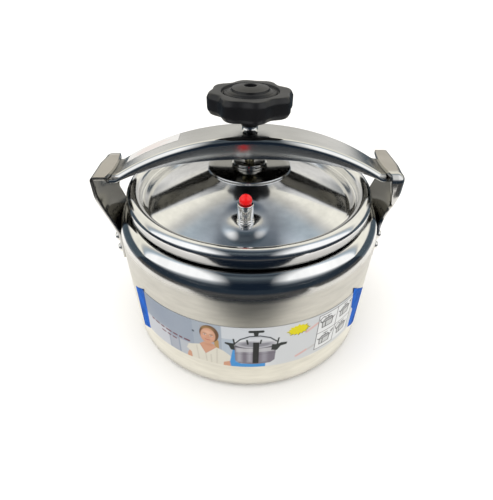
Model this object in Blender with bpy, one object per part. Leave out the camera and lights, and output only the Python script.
"""Round aluminium pressure canner with hook brackets, an arched clamp bar and a lobed screw knob.

Dimensions are in millimetres and are turned into metres when a mesh is made. +Z is up, the pot stands on
z = 0 with its axis on the Z axis, the clamp bar lies along X and the vent valve faces -Y.
"""
import math

import bmesh
import bpy

MM = 0.001
GAP = 0.3

# Pot
POT_R = 115.0
POT_WALL = 3.0
BASE_THICKNESS = 4.0
CORNER_R = 8.0
SHOULDER_Z = 104.0
NECK_R = 100.5
NECK_Z = 125.0
MOUTH_Z = 134.0
POT_STEPS = 48

# Lid
DISC_R = 35.0
DISC_Z = 155.5
CONE_TOP_Z = 153.0
CONE_R = 90.5
CONE_LOW_Z = 131.3
CONE_CROWN = 1.2
SHEET = 2.5
BEAD_R = 99.0
BEAD_Z = 135.5
BEAD_TUBE_R = 6.0
SKIRT_Z = 129.0

# Vent valve
VALVE_X = -4.6
VALVE_Y = -66.5
SEAT_FLAT_R = 9.5
SEAT_OUTER_R = 17.0
NOZZLE_R = 3.6
SLEEVE_R = 5.9
SLEEVE_HEIGHT = 14.4
PIN_R = 2.1
CAP_R = 4.75

# Clamp bar
BAR_TOP_Z = 184.5
BAR_ARCH_R = 208.0
BAR_TAB_Z = 153.2
BAR_BLEND_X = 107.0
BAR_HALF_LENGTH = 119.5
BAR_HALF_WIDTH = 19.0
BAR_SHEET = 2.5
BAR_EDGE_R = 4.5
SKIRT_DEEP = 16.8
SKIRT_SHALLOW = 3.2

# Hook brackets
STRAP_SHEET = 3.0
STRAP_HALF_WIDTH = 26.0
STRAP_LOW_Z = 75.0
STRAP_CONTACT_Z = 101.0
STRAP_WALL_R = POT_R + GAP + STRAP_SHEET
HOOK_X = 127.3
HOOK_TOP_Z = 156.5
HOOK_BEND_R = 4.0
ROLL_R = 7.0
CHEEK_LOW_Z = 139.0
NOTCH_TOP_Z = 128.0
NOTCH_LEFT = 1.0
HOOK_LIP_X = 112.0
RIVET_TURN = 10.0
RIVET_LEVELS = {"low": 83.5, "high": 95.8}
RIVET_R = 2.1
RIVET_HOLE_R = 2.5
RIVET_HEAD_R = 4.2

# Screw
SPINDLE_R = 6.0
NECK_PIN_R = 3.8
THREAD_LOW_Z = 168.5
FOOT_R = 7.5
HUB_Z = 188.7
STUB_R = 3.5
STUB_TOP_Z = 206.0
KNOB_R = 33.1
KNOB_LOBES = 4
KNOB_LOBE_TURN = -102.0
KNOB_FLAT_SINK = 1.9
KNOB_NOTCH_SINK = 4.3
KNOB_RIM_Z = 214.7
KNOB_TOP_Z = 218.3

# Paper wrap, tapes and sticker
WRAP_Z = (32.0, 80.0)
WRAP_TURN = (-140.5, -40.0)
PAPER = 0.3


# ---------------------------------------------------------------- helpers

def remove_everything():
    for thing in list(bpy.data.objects):
        bpy.data.objects.remove(thing, do_unlink=True)


def material(name, colour, roughness, metallic):
    finish = bpy.data.materials.new(name)
    finish.use_nodes = True
    shader = finish.node_tree.nodes["Principled BSDF"]
    shader.inputs["Base Color"].default_value = (*colour, 1.0)
    shader.inputs["Roughness"].default_value = roughness
    shader.inputs["Metallic"].default_value = metallic
    return finish


def arc(centre, radius, start, end, steps):
    """Points on an arc in the (radius, height) plane; degrees from the outward direction."""
    points = []
    for step in range(steps + 1):
        turn = math.radians(start + (end - start) * step / steps)
        points.append((centre[0] + radius * math.cos(turn), centre[1] + radius * math.sin(turn)))
    return points


def even_turns(steps):
    return [math.tau * step / steps for step in range(steps)]


def smooth_step(value):
    value = min(max(value, 0.0), 1.0)
    return value * value * (3.0 - 2.0 * value)


def mesh_object(name, body, finish, location=(0.0, 0.0, 0.0)):
    """Turn a bmesh made in millimetres into a smooth-shaded object in metres."""
    bmesh.ops.scale(body, vec=(MM, MM, MM), verts=body.verts)
    mesh = bpy.data.meshes.new(name)
    body.to_mesh(mesh)
    body.free()
    mesh.shade_smooth()
    mesh.set_sharp_from_angle(angle=math.radians(35.0))
    mesh.materials.append(finish)
    thing = bpy.data.objects.new(name, mesh)
    thing.location = [value * MM for value in location]
    bpy.context.scene.collection.objects.link(thing)
    return thing


def lathe(outline, turns, radius_at=None, height_at=None):
    """Revolve an outline of (radius, height) points; a ring outline closes on itself.

    radius_at and height_at reshape the plain turned form, point by point.
    """
    body = bmesh.new()
    rings = []
    for index, (radius, height) in enumerate(outline):
        if radius == 0.0:
            rings.append([body.verts.new((0.0, 0.0, height))])
            continue
        ring = []
        for turn in turns:
            reach = radius_at(index, radius, turn) if radius_at else radius
            x, y = reach * math.cos(turn), reach * math.sin(turn)
            z = height_at(x, y, height) if height_at else height
            ring.append(body.verts.new((x, y, z)))
        rings.append(ring)
    pairs = list(zip(rings, rings[1:]))
    if outline[0][0] != 0.0:
        pairs.append((rings[-1], rings[0]))
    count = len(turns)
    for lower, upper in pairs:
        for step in range(count):
            after = (step + 1) % count
            if len(lower) == 1:
                body.faces.new((lower[0], upper[step], upper[after]))
            elif len(upper) == 1:
                body.faces.new((lower[step], upper[0], lower[after]))
            else:
                body.faces.new((lower[step], upper[step], upper[after], lower[after]))
    bmesh.ops.recalc_face_normals(body, faces=body.faces)
    return body


def loft(sections):
    """Join closed sections of equal length, and cap both ends."""
    body = bmesh.new()
    rows = [[body.verts.new(point) for point in section] for section in sections]
    count = len(rows[0])
    for near, far in zip(rows, rows[1:]):
        for step in range(count):
            after = (step + 1) % count
            body.faces.new((near[step], far[step], far[after], near[after]))
    body.faces.new(rows[0])
    body.faces.new(list(reversed(rows[-1])))
    bmesh.ops.recalc_face_normals(body, faces=body.faces)
    return body


def cylinder_between(body, start, end, radius, steps=16):
    """Add a closed cylinder from start to end to a bmesh."""
    along = [b - a for a, b in zip(start, end)]
    length = math.sqrt(sum(part * part for part in along))
    along = [part / length for part in along]
    side = (-along[1], along[0], 0.0) if abs(along[2]) < 0.9 else (1.0, 0.0, 0.0)
    size = math.hypot(side[0], side[1])
    side = [part / size for part in side]
    lift = [along[1] * side[2] - along[2] * side[1],
            along[2] * side[0] - along[0] * side[2],
            along[0] * side[1] - along[1] * side[0]]
    rings = []
    for point in (start, end):
        ring = []
        for turn in even_turns(steps):
            across, up = radius * math.cos(turn), radius * math.sin(turn)
            ring.append(body.verts.new([p + across * s + up * u for p, s, u in zip(point, side, lift)]))
        rings.append(ring)
    faces = [body.faces.new(rings[0]), body.faces.new(list(reversed(rings[1])))]
    for step in range(steps):
        after = (step + 1) % steps
        faces.append(body.faces.new((rings[0][step], rings[1][step], rings[1][after], rings[0][after])))
    bmesh.ops.recalc_face_normals(body, faces=faces)


def cutter(name, bars, location=(0.0, 0.0, 0.0)):
    """One hidden cutting object made of cylinders, each (start, end, radius)."""
    body = bmesh.new()
    for start, end, radius in bars:
        cylinder_between(body, start, end, radius)
    thing = mesh_object(name, body, STEEL, location)
    thing.hide_render = True
    thing.display_type = "WIRE"
    return thing


def cut(thing, tool):
    step = thing.modifiers.new("cut_" + tool.name, "BOOLEAN")
    step.operation = "DIFFERENCE"
    step.solver = "EXACT"
    step.object = tool


def holder(name, location):
    """An empty on a moving assembly's axis."""
    thing = bpy.data.objects.new(name, None)
    thing.location = [value * MM for value in location]
    bpy.context.scene.collection.objects.link(thing)
    return thing


def hang(parent, *children):
    """Parent pieces to an empty without moving them."""
    for child in children:
        child.parent = parent
        child.location = child.location - parent.location


# ---------------------------------------------------------------- pot

def rivet_places():
    """Name, direction in degrees and height of each bracket rivet."""
    places = []
    for side, facing in (("right", 0.0), ("left", 180.0)):
        for row, offset in (("front", -RIVET_TURN), ("back", RIVET_TURN)):
            turn = facing + (offset if side == "right" else -offset)
            for level, height in RIVET_LEVELS.items():
                places.append((f"rivet_{side}_{row}_{level}", turn, height))
    return places


def rivet_hole_cutter():
    bars = []
    for _, turn, height in rivet_places():
        way = (math.cos(math.radians(turn)), math.sin(math.radians(turn)))
        start = (way[0] * (POT_R - 8.0), way[1] * (POT_R - 8.0), height)
        end = (way[0] * (POT_R + 8.0), way[1] * (POT_R + 8.0), height)
        bars.append((start, end, RIVET_HOLE_R))
    return cutter("cutter_rivet_holes", bars)


def make_pot():
    inner_r = POT_R - POT_WALL
    mouth_r = NECK_R - POT_WALL
    outline = [(0.0, 0.0)]
    outline += arc((POT_R - CORNER_R, CORNER_R), CORNER_R, -90.0, 0.0, 4)
    for step in range(7):
        lean = math.radians(90.0 * step / 6)
        outline.append((NECK_R + 1.0 + (POT_R - NECK_R - 1.0) * math.cos(lean),
                        SHOULDER_Z + (NECK_Z - SHOULDER_Z) * math.sin(lean)))
    outline += [(NECK_R, NECK_Z + 1.0), (NECK_R, MOUTH_Z - 0.8), (NECK_R - 0.8, MOUTH_Z)]
    outline += [(mouth_r + 0.8, MOUTH_Z), (mouth_r, MOUTH_Z - 0.8), (mouth_r, NECK_Z - 1.5)]
    for step in range(1, 5):
        lean = math.radians(90.0 - 90.0 * step / 4)
        outline.append((mouth_r + (inner_r - mouth_r) * math.cos(lean),
                        SHOULDER_Z + (NECK_Z - 2.5 - SHOULDER_Z) * math.sin(lean)))
    outline += arc((inner_r - CORNER_R, BASE_THICKNESS + CORNER_R), CORNER_R, 0.0, -90.0, 3)
    outline.append((0.0, BASE_THICKNESS))
    return mesh_object("pot_body", lathe(outline, even_turns(POT_STEPS)), ALUMINIUM_SATIN)


def make_rivets():
    inner_head = POT_R - POT_WALL - GAP
    outer_head = STRAP_WALL_R + GAP
    outline = [(0.0, inner_head - 1.8), (RIVET_HEAD_R - 0.6, inner_head - 1.8),
               (RIVET_HEAD_R - 0.2, inner_head), (RIVET_R, inner_head), (RIVET_R, outer_head),
               (RIVET_HEAD_R, outer_head), (RIVET_HEAD_R - 0.5, outer_head + 1.9),
               (RIVET_HEAD_R - 1.9, outer_head + 3.2), (0.0, outer_head + 3.7)]
    for name, turn, height in rivet_places():
        rivet = mesh_object(name, lathe(outline, even_turns(10)), ALUMINIUM_BRIGHT, (0.0, 0.0, height))
        rivet.rotation_euler = (0.0, math.radians(90.0), math.radians(turn))


# ---------------------------------------------------------------- hook brackets

def strap_x(height, y):
    """Outer face of the strap: on the wall at the bottom, leaning out to the hook at the top."""
    lean = smooth_step((height - STRAP_CONTACT_Z + 3.0) / 44.0)
    curved = math.sqrt(STRAP_WALL_R ** 2 - y * y)
    straight = min(max((height - STRAP_CONTACT_Z + 2.0) / 38.0, 0.0), 1.0)
    return curved + (HOOK_X - curved) * (0.55 * lean + 0.45 * straight)


def roll_angle(height):
    """How far the closed edge is rolled in at a height: full from the cheek's lower end upwards."""
    if height < NOTCH_TOP_Z:
        return 0.0
    slight = math.asin(NOTCH_LEFT / ROLL_R)
    share = smooth_step((height - NOTCH_TOP_Z) / (CHEEK_LOW_Z - NOTCH_TOP_Z))
    return slight + (math.radians(90.0) - slight) * share


def closed_edge_width(height):
    """Width beyond the flat part where the edge isn't rolled: full at the wall, then a shallow notch."""
    share = smooth_step((height - STRAP_CONTACT_Z + 3.0) / 14.0)
    return ROLL_R + (NOTCH_LEFT - ROLL_R) * share


def bend_radius(y):
    """The bend between strap and flange is tight at the open edge and as round as the roll at the other."""
    return HOOK_BEND_R + (ROLL_R - HOOK_BEND_R) * smooth_step((-y - 1.0) / 17.0)


def bracket_rows():
    """Stations from the strap's low end up, round the bend and along the flange."""
    heights = (STRAP_LOW_Z, 88.0, 98.0, 102.0, 107.0, 112.0, 117.0, 122.0, NOTCH_TOP_Z, 131.0, 133.5, 136.0,
               CHEEK_LOW_Z, 144.0)
    rows = [("strap", height) for height in heights]
    rows += [("bend", math.radians(90.0 * step / 5)) for step in range(6)]
    return rows + [("flange", 0.5), ("flange", 1.0)]


def bracket_point(row, y, roll):
    """Outer surface point; roll runs from 0 on the flat part to 1 at the closed edge."""
    kind, value = row
    edge = ROLL_R - STRAP_HALF_WIDTH
    bend_r = bend_radius(y if roll == 0.0 else edge)
    bend_x, bend_z = HOOK_X - bend_r, HOOK_TOP_Z - bend_r
    angle = roll_angle(value) if kind == "strap" else math.radians(90.0)
    sunk = 0.0
    if roll > 0.0:
        if angle > 0.0:
            y = edge - ROLL_R * math.sin(roll * angle)
            sunk = ROLL_R * (1.0 - math.cos(roll * angle))
        else:
            y = edge - roll * closed_edge_width(value)
    if kind == "strap":
        return (strap_x(value, y) - sunk, y, value)
    if kind == "bend":
        reach = bend_r - sunk
        return (bend_x + reach * math.cos(value), y, bend_z + reach * math.sin(value))
    lip = HOOK_LIP_X + 3.0 * (y / STRAP_HALF_WIDTH) ** 2
    return (bend_x + (lip - bend_x) * value, y, HOOK_TOP_Z - sunk)


def make_bracket(name, facing, holes):
    """A strap bent into a hook, open on one side and closed on the other by a rolled cheek."""
    columns = [(STRAP_HALF_WIDTH - 45.0 * step / 6, 0.0) for step in range(7)]
    columns += [(0.0, step / 4) for step in range(1, 5)]
    body = bmesh.new()
    rows = bracket_rows()
    grid = [[body.verts.new(bracket_point(row, y, roll)) for y, roll in columns] for row in rows]
    for low, high in zip(grid, grid[1:]):
        for step in range(len(columns) - 1):
            body.faces.new((low[step], high[step], high[step + 1], low[step + 1]))
    cheek = [line[-1] for row, line in zip(rows, grid) if row[0] != "strap" or row[1] >= CHEEK_LOW_Z]
    body.faces.new(cheek)
    bmesh.ops.remove_doubles(body, verts=body.verts, dist=0.01)
    bmesh.ops.recalc_face_normals(body, faces=body.faces)
    strap_face = min(body.faces, key=lambda face: face.calc_center_median().z)
    if strap_face.normal.x < 0.0:
        bmesh.ops.reverse_faces(body, faces=body.faces)
    bracket = mesh_object(name, body, STEEL)
    bracket.rotation_euler = (0.0, 0.0, math.radians(facing))
    shell = bracket.modifiers.new("sheet", "SOLIDIFY")
    shell.thickness = STRAP_SHEET * MM
    shell.offset = -1.0
    shell.use_even_offset = True
    cut(bracket, holes)


# ---------------------------------------------------------------- lid

def cone_height(radius):
    share = (radius - DISC_R) / (CONE_R - DISC_R)
    crown = 4.0 * CONE_CROWN * share * (1.0 - share)
    return CONE_TOP_Z + (CONE_LOW_Z - CONE_TOP_Z) * share + crown


def seat_shift(x, y):
    """Height change that makes a level seat for the valve on the sloping cone."""
    away = math.hypot(x - VALVE_X, y - VALVE_Y)
    radius = math.hypot(x, y)
    share = smooth_step((SEAT_OUTER_R - away) / (SEAT_OUTER_R - SEAT_FLAT_R))
    return share * (cone_height(math.hypot(VALVE_X, VALVE_Y)) - cone_height(radius))


def lid_turns():
    """Angular stations, close together around the valve."""
    valve_turn = math.degrees(math.atan2(VALVE_Y, VALVE_X))
    spread, steps = 35.0, 30
    fine = [valve_turn + spread * (step / 10 - 0.5) for step in range(11)]
    coarse = [fine[-1] + (360.0 - spread) * step / steps for step in range(1, steps)]
    return [math.radians(turn) for turn in fine + coarse]


def make_lid():
    cone = [41.0, 47.0, 52.0, 56.0, 60.0, 64.0, 68.0, 72.0, 76.0, 82.0, CONE_R]
    under = [87.0, 80.0, 75.0, 70.0, 64.0, 58.0, 53.0, 46.0]
    tube = BEAD_TUBE_R
    skirt_in = BEAD_R + tube - SHEET
    outline = [(0.0, DISC_Z), (DISC_R - 0.8, DISC_Z), (DISC_R, DISC_Z - 0.8), (DISC_R, CONE_TOP_Z + 0.4)]
    outline += [(radius, cone_height(radius)) for radius in cone]
    outline += [(BEAD_R - tube - 0.6, CONE_LOW_Z + 0.6), (BEAD_R - tube, CONE_LOW_Z + 2.0)]
    outline += arc((BEAD_R, BEAD_Z), tube, 180.0, 0.0, 8)
    outline += [(BEAD_R + tube, SKIRT_Z + 0.4), (BEAD_R + tube - 0.4, SKIRT_Z), (skirt_in + 0.4, SKIRT_Z)]
    outline += arc((BEAD_R, BEAD_Z), tube - SHEET, 0.0, 180.0, 6)
    outline += [(BEAD_R - tube + SHEET, CONE_LOW_Z - 0.4), (BEAD_R - tube + 0.8, CONE_LOW_Z - 2.4)]
    outline += [(radius, cone_height(radius) - SHEET * 1.07) for radius in under]
    outline += [(DISC_R, CONE_TOP_Z - SHEET), (DISC_R - SHEET, CONE_TOP_Z - 1.6)]
    outline += [(DISC_R - SHEET, DISC_Z - SHEET), (0.0, DISC_Z - SHEET)]

    def shaped(x, y, height):
        radius = math.hypot(x, y)
        if radius < DISC_R + 2.0 or radius > CONE_R + 0.5:
            return height
        return height + seat_shift(x, y)

    lid = mesh_object("lid_shell", lathe(outline, lid_turns(), height_at=shaped), ALUMINIUM_BRIGHT)
    seat_z = valve_seat_z()
    hole = cutter("cutter_valve_hole", [((0.0, 0.0, seat_z - 8.0), (0.0, 0.0, seat_z + 4.0), NOZZLE_R + 0.4)],
                  (VALVE_X, VALVE_Y, 0.0))
    cut(lid, hole)
    return lid


def make_gasket():
    low = MOUTH_Z + GAP
    half = BEAD_TUBE_R - SHEET - GAP
    outline = [(BEAD_R - half, low), (BEAD_R + half, low)]
    outline += arc((BEAD_R, BEAD_Z), half, 0.0, 180.0, 5)
    return mesh_object("lid_gasket", lathe(outline, lid_turns()), RUBBER)


def make_pressure_pad():
    low = DISC_Z + GAP
    outline = [(FOOT_R + 0.4, low), (15.0, low), (15.0, low + 1.5), (13.4, low + 1.7), (13.4, low + 3.2),
               (13.0, low + 3.4), (NECK_PIN_R + 0.4, low + 3.4), (NECK_PIN_R + 0.4, low + 2.0),
               (FOOT_R + 0.4, low + 2.0)]
    pad = mesh_object("pressure_pad", lathe(outline, even_turns(24)), STEEL)
    outline = [(2.5, low), (FOOT_R, low), (FOOT_R, low + 0.5), (2.5, low + 0.5)]
    washer = mesh_object("thrust_washer", lathe(outline, even_turns(20)), BRASS)
    return [pad, washer]


# ---------------------------------------------------------------- vent valve

def valve_seat_z():
    return cone_height(math.hypot(VALVE_X, VALVE_Y))


def valve_piece(name, outline, steps, finish):
    return mesh_object(name, lathe(outline, even_turns(steps)), finish, (VALVE_X, VALVE_Y, 0.0))


def make_valve_body():
    """Pieces of the valve that stay on the lid."""
    seat = valve_seat_z()
    under = seat - SHEET * 1.07
    bore = NOZZLE_R + 0.3
    base = seat + GAP
    place = (VALVE_X, VALVE_Y, 0.0)
    top = base + SLEEVE_HEIGHT
    lip = SLEEVE_R + 0.5
    sleeve = [(bore, base), (lip, base), (lip, base + 1.0), (SLEEVE_R, base + 1.4), (SLEEVE_R, top - 0.7),
              (SLEEVE_R - 0.6, top), (PIN_R + 0.5, top), (PIN_R + 0.5, top - 1.5), (4.5, top - 1.5),
              (4.5, base + 3.4), (bore, base + 3.4)]
    body = valve_piece("valve_sleeve", sleeve, 20, ALUMINIUM_BRIGHT)
    holes = []
    for turn in (-125.0, 10.0):
        way = (math.cos(math.radians(turn)), math.sin(math.radians(turn)))
        holes.append(((way[0] * 4.0, way[1] * 4.0, base + 4.7), (way[0] * 8.0, way[1] * 8.0, base + 4.7), 0.8))
    cut(body, cutter("cutter_vent_holes", holes, place))
    nozzle = [(1.6, under - 6.6), (NOZZLE_R, under - 6.6), (NOZZLE_R, base + 3.9), (2.6, base + 4.4),
              (1.6, base + 4.4)]
    seal = [(NOZZLE_R + 0.3, under - 1.9), (7.2, under - 1.9), (7.2, under - GAP), (NOZZLE_R + 0.3, under - GAP)]
    nut = [(NOZZLE_R + 0.3, under - 5.8), (6.6, under - 5.8), (7.2, under - 5.2), (7.2, under - 2.8),
           (6.6, under - 2.2), (NOZZLE_R + 0.3, under - 2.2)]
    return [body, valve_piece("valve_nozzle", nozzle, 16, BRASS), valve_piece("valve_seal", seal, 16, RUBBER),
            mesh_object("valve_nut", lathe(nut, even_turns(12), radius_at=hexagon), BRASS, place),
            make_valve_spring(base + 6.2, top - 1.8)]


def hexagon(index, radius, turn):
    """Six flats on the outside of the nut; its bore stays round."""
    if radius < NOZZLE_R + 1.0:
        return radius
    off_corner = abs(math.sin(3.0 * turn))
    return radius * (1.0 - off_corner * (1.0 - math.cos(math.radians(30.0))))


def make_valve_spring(low, high):
    """Coil spring between the plunger's flange and the sleeve's top."""
    coil_r, wire_r, coils, steps, sides = 3.15, 0.35, 4.5, 9, 5
    body = bmesh.new()
    rings = []
    count = int(coils * steps)
    for index in range(count + 1):
        turn = math.tau * index / steps
        height = low + wire_r + (high - low - 2.0 * wire_r) * index / count
        ring = []
        for side in even_turns(sides):
            reach = coil_r + wire_r * math.cos(side)
            ring.append(body.verts.new((reach * math.cos(turn), reach * math.sin(turn),
                                        height + wire_r * math.sin(side))))
        rings.append(ring)
    for near, far in zip(rings, rings[1:]):
        for side in range(sides):
            after = (side + 1) % sides
            body.faces.new((near[side], far[side], far[after], near[after]))
    body.faces.new(rings[0])
    body.faces.new(list(reversed(rings[-1])))
    bmesh.ops.recalc_face_normals(body, faces=body.faces)
    return mesh_object("valve_spring", body, STEEL, (VALVE_X, VALVE_Y, 0.0))


def make_valve_plunger():
    """The red cap and the pin under it, which lift together."""
    base = valve_seat_z() + GAP
    top = base + SLEEVE_HEIGHT
    pin_top = top + 3.6
    pin = [(0.0, base + 4.8), (1.9, base + 4.8), (3.9, base + 5.1), (3.9, base + 5.9), (PIN_R, base + 6.0),
           (PIN_R, pin_top), (0.0, pin_top)]
    cap = [(0.0, pin_top + GAP), (PIN_R + 0.3, pin_top + GAP), (PIN_R + 0.3, top + GAP), (CAP_R - 1.0, top + GAP),
           (CAP_R - 0.3, top + 0.9), (CAP_R, top + 2.0)]
    cap += arc((0.0, top + 2.4), CAP_R, 12.0, 75.0, 4)
    cap.append((0.0, top + 2.4 + CAP_R))
    return [valve_piece("valve_plunger", pin, 14, STEEL), valve_piece("valve_cap", cap, 20, RED_PLASTIC)]


# ---------------------------------------------------------------- clamp bar

def bar_top(x):
    """Height of the bar's top face: a circular arch that runs out into level end tabs."""
    away = abs(x)
    if away <= BAR_BLEND_X:
        return BAR_TOP_Z - BAR_ARCH_R + math.sqrt(BAR_ARCH_R ** 2 - away ** 2)
    start = BAR_TOP_Z - BAR_ARCH_R + math.sqrt(BAR_ARCH_R ** 2 - BAR_BLEND_X ** 2)
    slope = BAR_BLEND_X / math.sqrt(BAR_ARCH_R ** 2 - BAR_BLEND_X ** 2)
    length = 2.0 * (start - BAR_TAB_Z) / slope
    left = max(1.0 - (away - BAR_BLEND_X) / length, 0.0)
    return BAR_TAB_Z + (start - BAR_TAB_Z) * left * left


def skirt_depth(x):
    share = max(1.0 - (x / 112.0) ** 2, 0.0)
    return SKIRT_SHALLOW + (SKIRT_DEEP - SKIRT_SHALLOW) * share ** 1.4


def bar_half_width(x):
    """Full width up to the tabs, whose corners are rounded."""
    into = max(abs(x) - 113.0, 0.0) / (BAR_HALF_LENGTH - 113.0)
    return BAR_HALF_WIDTH - 6.0 * (1.0 - math.sqrt(1.0 - 0.98 * into * into))


def bar_section(x):
    """Closed outline of the inverted U at one place along the bar."""
    half, top, deep = bar_half_width(x), bar_top(x), skirt_depth(x)
    outer_r = min(BAR_EDGE_R, deep - 0.3)
    inner_r = max(outer_r - BAR_SHEET, 0.3)
    outside, inside = [], []
    for step in range(5):
        lean = math.radians(90.0 * step / 4)
        outside.append((half - outer_r + outer_r * math.cos(lean), top - outer_r + outer_r * math.sin(lean)))
        inside.append((half - BAR_SHEET - inner_r + inner_r * math.cos(lean),
                       top - BAR_SHEET - inner_r + inner_r * math.sin(lean)))
    right = [(half, top - deep)] + outside
    left = [(-y, z) for y, z in reversed(right)]
    inner_left = [(-y, z) for y, z in [(half - BAR_SHEET, top - deep)] + inside]
    inner_right = [(y, z) for y, z in reversed([(half - BAR_SHEET, top - deep)] + inside)]
    return [(x, y, z) for y, z in right + left + inner_left + inner_right]


def make_bar():
    half = [0.0, 13.0, 26.0, 38.0, 50.0, 61.0, 72.0, 82.0, 91.0, 99.0, 104.0, 107.0, 109.0, 111.0, 113.0,
            116.0, 118.3, BAR_HALF_LENGTH]
    stations = [-x for x in reversed(half[1:])] + half
    bar = mesh_object("crossbar", loft([bar_section(x) for x in stations]), STEEL)
    hole = ((0.0, 0.0, BAR_TOP_Z - 10.0), (0.0, 0.0, BAR_TOP_Z + 5.0), SPINDLE_R + 0.4)
    cut(bar, cutter("cutter_bar_hole", [hole]))
    high = BAR_TOP_Z - BAR_SHEET - 0.8
    bore = SPINDLE_R + 0.4
    outline = [(bore, high - 9.7), (11.4, high - 9.7), (12.0, high - 9.1), (12.0, high - 0.5), (11.5, high),
               (bore, high)]
    nut = mesh_object("crossbar_nut", lathe(outline, even_turns(24)), STEEL)
    return [bar, nut, make_sticker()]


def make_sticker():
    """Paper sticker on the bar's top, at its left end."""
    sections = []
    for step in range(9):
        x = -103.0 + 45.0 * step / 8
        low, high = bar_top(x) + GAP, bar_top(x) + GAP + PAPER
        sections.append([(x, -1.0, low), (x, 14.0, low), (x, 14.0, high), (x, -1.0, high)])
    return mesh_object("bar_sticker", loft(sections), PAPER_WHITE)


# ---------------------------------------------------------------- screw and knob

def make_screw():
    foot = DISC_Z + GAP + 0.8
    spindle = [(0.0, foot), (FOOT_R - 0.3, foot), (FOOT_R, foot + 0.3), (FOOT_R, foot + 0.9),
               (NECK_PIN_R, foot + 0.9), (NECK_PIN_R, THREAD_LOW_Z - 1.0), (SPINDLE_R, THREAD_LOW_Z + 0.6),
               (SPINDLE_R, HUB_Z - GAP), (STUB_R, HUB_Z - GAP),
               (STUB_R, STUB_TOP_Z), (2.7, STUB_TOP_Z), (2.7, 194.0), (0.0, 194.0)]
    head = STUB_TOP_Z + 1.3
    screw = [(0.0, 196.0), (2.3, 196.0), (2.3, head), (4.2, head), (4.2, head + 2.1), (3.5, head + 2.8),
             (1.9, head + 2.8), (1.9, head + 1.3), (0.0, head + 1.3)]
    return [mesh_object("spindle", lathe(spindle, even_turns(20)), ZINC_YELLOW),
            mesh_object("knob_screw", lathe(screw, even_turns(12)), STEEL), make_knob()]


def make_knob():
    """Four flat-faced lobes with hollows between: each outline point takes a share of them, from 0 to 1."""
    shelf = STUB_TOP_Z + 1.0
    rim = KNOB_RIM_Z
    shape = [(STUB_R + 0.3, HUB_Z, 0.0), (6.6, HUB_Z, 0.0), (7.4, HUB_Z + 0.9, 0.0), (9.6, 193.0, 0.0),
             (15.0, 197.0, 0.2), (22.0, 198.3, 0.6), (29.4, 198.6, 1.0), (32.0, 199.9, 1.0), (KNOB_R, 203.0, 1.0),
             (KNOB_R, 210.0, 1.0), (31.8, 213.1, 1.0), (29.0, rim, 1.0), (24.2, rim, 0.4), (23.4, rim - 0.5, 0.0),
             (22.6, rim - 1.9, 0.0), (20.0, rim - 1.2, 0.0), (13.0, KNOB_TOP_Z - 1.5, 0.0),
             (5.6, KNOB_TOP_Z, 0.0), (4.7, KNOB_TOP_Z - 0.5, 0.0), (4.7, shelf, 0.0), (STUB_R + 0.3, shelf, 0.0)]

    def lobed(index, radius, turn):
        phase = KNOB_LOBES * (turn - math.radians(KNOB_LOBE_TURN))
        flat = KNOB_FLAT_SINK * (0.25 + 0.5 * math.cos(phase) + 0.25 * math.cos(2.0 * phase))
        hollow = KNOB_NOTCH_SINK * (0.25 - 0.5 * math.cos(phase) + 0.25 * math.cos(2.0 * phase))
        return radius - shape[index][2] * (flat + hollow)

    outline = [(radius, height) for radius, height, _ in shape]
    return mesh_object("knob", lathe(outline, even_turns(48), radius_at=lobed), BLACK_PLASTIC)


# ---------------------------------------------------------------- paper wrap and tapes

def wrapped_sheet(name, inner_r, left, right, steps, finish):
    """A thin sheet bent round the pot from its left end to its right end.

    Each end is two corners, low then high, each a direction in degrees and a height.
    """
    sections = []
    for step in range(steps + 1):
        share = step / steps
        section = []
        for corner in (0, 1):
            turn = math.radians(left[corner][0] + (right[corner][0] - left[corner][0]) * share)
            height = left[corner][1] + (right[corner][1] - left[corner][1]) * share
            pair = [(reach * math.cos(turn), reach * math.sin(turn), height)
                    for reach in (inner_r, inner_r + PAPER)]
            section += pair if corner == 0 else reversed(pair)
        sections.append(section)
    return mesh_object(name, loft(sections), finish)


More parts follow.
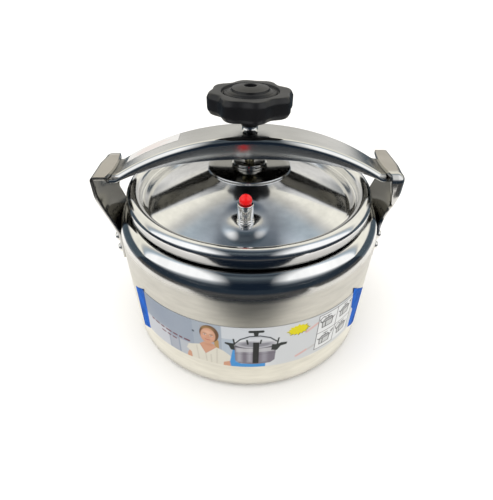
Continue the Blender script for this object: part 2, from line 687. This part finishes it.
def make_wrap():
    wrap_r = POT_R + GAP
    tape_r = wrap_r + PAPER + GAP
    low, high = WRAP_Z
    start, end = WRAP_TURN
    wrapped_sheet("wrap_label", wrap_r, ((start, low), (start, high)), ((end, low), (end, high)), 20, PAPER_GREY)
    wrapped_sheet("label_tape_left", tape_r, ((-149.0, 20.0), (-148.5, 71.0)), ((-140.5, 31.5), (-139.0, 82.0)),
                  3, TAPE_BLUE)
    wrapped_sheet("label_tape_right", tape_r, ((-39.5, 29.5), (-44.5, 86.0)), ((-27.5, 14.0), (-28.5, 62.0)),
                  4, TAPE_BLUE)


# ---------------------------------------------------------------- build

remove_everything()
ALUMINIUM_SATIN = material("aluminium_satin", (0.80, 0.79, 0.76), 0.35, 1.0)
ALUMINIUM_BRIGHT = material("aluminium_bright", (0.86, 0.86, 0.86), 0.10, 1.0)
STEEL = material("polished_steel", (0.72, 0.72, 0.71), 0.16, 1.0)
BRASS = material("brass", (0.72, 0.55, 0.26), 0.25, 1.0)
ZINC_YELLOW = material("zinc_yellow", (0.78, 0.70, 0.45), 0.30, 1.0)
RUBBER = material("rubber", (0.05, 0.05, 0.05), 0.70, 0.0)
BLACK_PLASTIC = material("black_plastic", (0.015, 0.015, 0.016), 0.40, 0.0)
RED_PLASTIC = material("red_plastic", (0.62, 0.01, 0.015), 0.25, 0.0)
PAPER_WHITE = material("paper_white", (0.88, 0.88, 0.86), 0.55, 0.0)
PAPER_GREY = material("paper_grey", (0.62, 0.66, 0.72), 0.40, 0.0)
TAPE_BLUE = material("tape_blue", (0.02, 0.12, 0.55), 0.60, 0.0)

rivet_holes = rivet_hole_cutter()
pot = make_pot()
cut(pot, rivet_holes)
make_rivets()
make_bracket("hook_bracket_right", 0.0, rivet_holes)
make_bracket("hook_bracket_left", 180.0, rivet_holes)
make_wrap()

lid_slide = holder("lid_slide_axis", (0.0, 0.0, MOUTH_Z))
hang(lid_slide, make_lid(), make_gasket(), *make_pressure_pad(), *make_valve_body())
valve_axis = holder("valve_axis", (VALVE_X, VALVE_Y, valve_seat_z()))
hang(valve_axis, *make_valve_plunger())
bar_pivot = holder("bar_pivot", (0.0, 0.0, BAR_TOP_Z))
hang(bar_pivot, *make_bar())
screw_axis = holder("screw_axis", (0.0, 0.0, HUB_Z))
hang(screw_axis, *make_screw())
